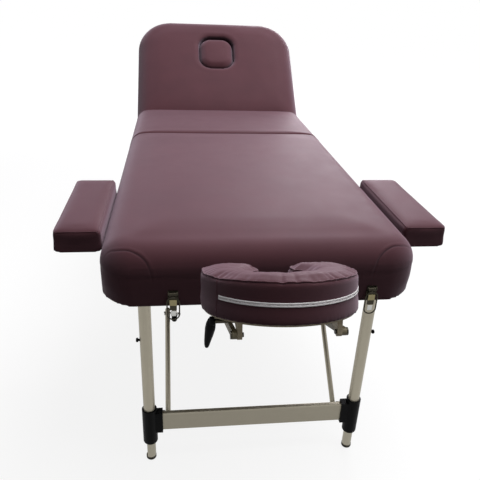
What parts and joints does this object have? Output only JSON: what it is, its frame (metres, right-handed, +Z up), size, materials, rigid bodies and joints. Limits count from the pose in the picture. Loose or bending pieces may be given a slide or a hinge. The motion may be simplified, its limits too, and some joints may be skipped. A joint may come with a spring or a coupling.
{
  "type": "folding massage table",
  "caption": "Folding aluminium massage table with padded sections, a lifting backrest with a face hole, a tilting face cradle and side armrests.",
  "frame": {"origin": "middle of the table's bounding box on the floor plane", "axes": "+X across the width, +Y from the face cradle to the far end, +Z up"},
  "size_m": [0.92, 2.1336, 0.9298],
  "materials": {
    "vinyl_pad": "satin",
    "plywood": "satin",
    "steel": "satin",
    "latch_metal": "satin",
    "black_plastic": "satin",
    "black_rubber": "matte",
    "aluminium": "satin"
  },
  "bodies": {
    "foot_half": {"foot_pad": "vinyl_pad", "foot_deck": "plywood", "foot_rails": "aluminium", "sleeve_sockets": "aluminium", "foot_brackets": "steel", "foot_bolts": "steel", "foot_fold_hinges": "steel", "latch_plates": "latch_metal", "side_bumpers": "black_rubber"},
    "head_half": {"mid_pad": "vinyl_pad", "mid_deck": "plywood", "head_rails": "aluminium", "head_sleeves": "aluminium", "backrest_hinge_ears": "steel", "prop_racks": "black_plastic", "head_brackets": "steel", "head_bolts": "steel", "head_fold_hinges": "steel"},
    "backrest": {"backrest_pad": "vinyl_pad", "backrest_deck": "plywood", "backrest_brackets": "steel", "backrest_pins": "steel"},
    "backrest_prop": {"backrest_prop": "steel"},
    "face_plug": {"face_plug": "vinyl_pad"},
    "cradle_base": {"cradle_rods": "aluminium", "cradle_arms": "plywood"},
    "cradle_head": {"cradle_platform": "plywood", "cradle_bolts": "steel", "cradle_cushion": "vinyl_pad"},
    "cradle_lever": {"cradle_lever": "black_plastic"},
    "armrest_left": {"armrest_pad_left": "vinyl_pad", "armrest_base_left": "plywood"},
    "latch_left": {"latch_left": "latch_metal"},
    "armrest_right": {"armrest_pad_right": "vinyl_pad", "armrest_base_right": "plywood"},
    "latch_right": {"latch_right": "latch_metal"},
    "foot_legs": {"foot_leg_tubes": "aluminium", "foot_leg_connectors": "black_plastic", "foot_crossbar": "aluminium"},
    "foot_lower_brace": {"foot_lower_braces": "aluminium", "foot_brace_bolts": "steel"},
    "foot_upper_brace": {"foot_upper_braces": "aluminium"},
    "foot_foot_left": {"foot_inner_leg_left": "aluminium", "foot_leg_tip_left": "black_rubber"},
    "foot_button_left": {"foot_leg_button_left": "black_plastic"},
    "foot_foot_right": {"foot_inner_leg_right": "aluminium", "foot_leg_tip_right": "black_rubber"},
    "foot_button_right": {"foot_leg_button_right": "black_plastic"},
    "head_legs": {"head_leg_tubes": "aluminium", "head_leg_connectors": "black_plastic", "head_crossbar": "aluminium"},
    "head_lower_brace": {"head_lower_braces": "aluminium", "head_brace_bolts": "steel"},
    "head_upper_brace": {"head_upper_braces": "aluminium"},
    "head_foot_left": {"head_inner_leg_left": "aluminium", "head_leg_tip_left": "black_rubber"},
    "head_button_left": {"head_leg_button_left": "black_plastic"},
    "head_foot_right": {"head_inner_leg_right": "aluminium", "head_leg_tip_right": "black_rubber"},
    "head_button_right": {"head_leg_button_right": "black_plastic"}
  },
  "joints": [
    {"name": "table_fold", "type": "hinge", "parent": "foot_half", "child": "head_half", "pos_m": [0, 0.14208, 0.479], "axis": [-1, 0, 0], "range_deg": [0, 180]},
    {"name": "foot_legs_fold", "type": "hinge", "parent": "foot_half", "child": "foot_legs", "pos_m": [0, -0.74291, 0.513], "axis": [1, 0, 0], "range_deg": [0, 90]},
    {"name": "foot_lower_brace_fold", "type": "hinge", "parent": "foot_legs", "child": "foot_lower_brace", "pos_m": [0, -0.72591, 0.12], "axis": [1, 0, 0], "range_deg": [0, 49.09]},
    {"name": "foot_upper_brace_fold", "type": "hinge", "parent": "foot_half", "child": "foot_upper_brace", "pos_m": [0, -0.25292, 0.53], "axis": [-1, 0, 0], "range_deg": [0, 40.93]},
    {"name": "foot_leg_left_height", "type": "slide", "parent": "foot_legs", "child": "foot_foot_left", "axis": [0, 0, -1], "range_m": [0, 0.23]},
    {"name": "foot_button_left_press", "type": "slide", "parent": "foot_legs", "child": "foot_button_left", "axis": [1, 0, 0], "range_m": [0, 0.003], "stiffness_N_per_m": 600},
    {"name": "foot_leg_right_height", "type": "slide", "parent": "foot_legs", "child": "foot_foot_right", "axis": [0, 0, -1], "range_m": [0, 0.23]},
    {"name": "foot_button_right_press", "type": "slide", "parent": "foot_legs", "child": "foot_button_right", "axis": [-1, 0, 0], "range_m": [0, 0.003], "stiffness_N_per_m": 600},
    {"name": "head_legs_fold", "type": "hinge", "parent": "head_half", "child": "head_legs", "pos_m": [0, 1.02709, 0.513], "axis": [-1, 0, 0], "range_deg": [0, 90]},
    {"name": "head_lower_brace_fold", "type": "hinge", "parent": "head_legs", "child": "head_lower_brace", "pos_m": [0, 1.01008, 0.12], "axis": [-1, 0, 0], "range_deg": [0, 49.09]},
    {"name": "head_upper_brace_fold", "type": "hinge", "parent": "head_half", "child": "head_upper_brace", "pos_m": [0, 0.53709, 0.53], "axis": [1, 0, 0], "range_deg": [0, 40.93]},
    {"name": "head_leg_left_height", "type": "slide", "parent": "head_legs", "child": "head_foot_left", "axis": [0, 0, -1], "range_m": [0, 0.23]},
    {"name": "head_button_left_press", "type": "slide", "parent": "head_legs", "child": "head_button_left", "axis": [1, 0, 0], "range_m": [0, 0.003], "stiffness_N_per_m": 600},
    {"name": "head_leg_right_height", "type": "slide", "parent": "head_legs", "child": "head_foot_right", "axis": [0, 0, -1], "range_m": [0, 0.23]},
    {"name": "head_button_right_press", "type": "slide", "parent": "head_legs", "child": "head_button_right", "axis": [-1, 0, 0], "range_m": [0, 0.003], "stiffness_N_per_m": 600},
    {"name": "backrest_lift", "type": "hinge", "parent": "head_half", "child": "backrest", "pos_m": [0, 0.55258, 0.586], "axis": [1, 0, 0], "range_deg": [-42, 23]},
    {"name": "backrest_prop_swing", "type": "hinge", "parent": "backrest", "child": "backrest_prop", "pos_m": [0, 0.76488, 0.69793], "axis": [-1, 0, 0], "range_deg": [-84, 46]},
    {"name": "face_plug_lift", "type": "slide", "parent": "backrest", "child": "face_plug", "axis": [0, -0.6691, 0.7431], "range_m": [0, 0.09]},
    {"name": "cradle_slide", "type": "slide", "parent": "foot_half", "child": "cradle_base", "axis": [0, -1, 0], "range_m": [0, 0.08]},
    {"name": "cradle_tilt", "type": "hinge", "parent": "cradle_base", "child": "cradle_head", "pos_m": [0, -1.03242, 0.58658], "axis": [1, 0, 0], "range_deg": [-5, 30]},
    {"name": "cradle_lever_swing", "type": "hinge", "parent": "cradle_head", "child": "cradle_lever", "pos_m": [0, -0.98429, 0.58165], "axis": [-1, 0, 0], "range_deg": [0, 100]},
    {"name": "armrest_right_pull", "type": "slide", "parent": "foot_half", "child": "armrest_right", "axis": [1, 0, 0], "range_m": [0, 0.06]},
    {"name": "armrest_left_pull", "type": "slide", "parent": "foot_half", "child": "armrest_left", "axis": [-1, 0, 0], "range_m": [0, 0.06]},
    {"name": "latch_left_swing", "type": "hinge", "parent": "foot_half", "child": "latch_left", "pos_m": [-0.194, -0.78792, 0.517], "axis": [-1, 0, 0], "range_deg": [0, 110]},
    {"name": "latch_right_swing", "type": "hinge", "parent": "foot_half", "child": "latch_right", "pos_m": [0.238, -0.78792, 0.517], "axis": [-1, 0, 0], "range_deg": [0, 110]}
  ],
  "couplings": [
    {"joint": "foot_legs_fold", "follows": "table_fold", "ratio": 0.5},
    {"joint": "foot_lower_brace_fold", "follows": "table_fold", "ratio": 0.27267},
    {"joint": "foot_upper_brace_fold", "follows": "table_fold", "ratio": 0.22733},
    {"joint": "head_legs_fold", "follows": "table_fold", "ratio": 0.5},
    {"joint": "head_lower_brace_fold", "follows": "table_fold", "ratio": 0.27267},
    {"joint": "head_upper_brace_fold", "follows": "table_fold", "ratio": 0.22733},
    {"joint": "backrest_prop_swing", "follows": "backrest_lift", "ratio": 2}
  ]
}
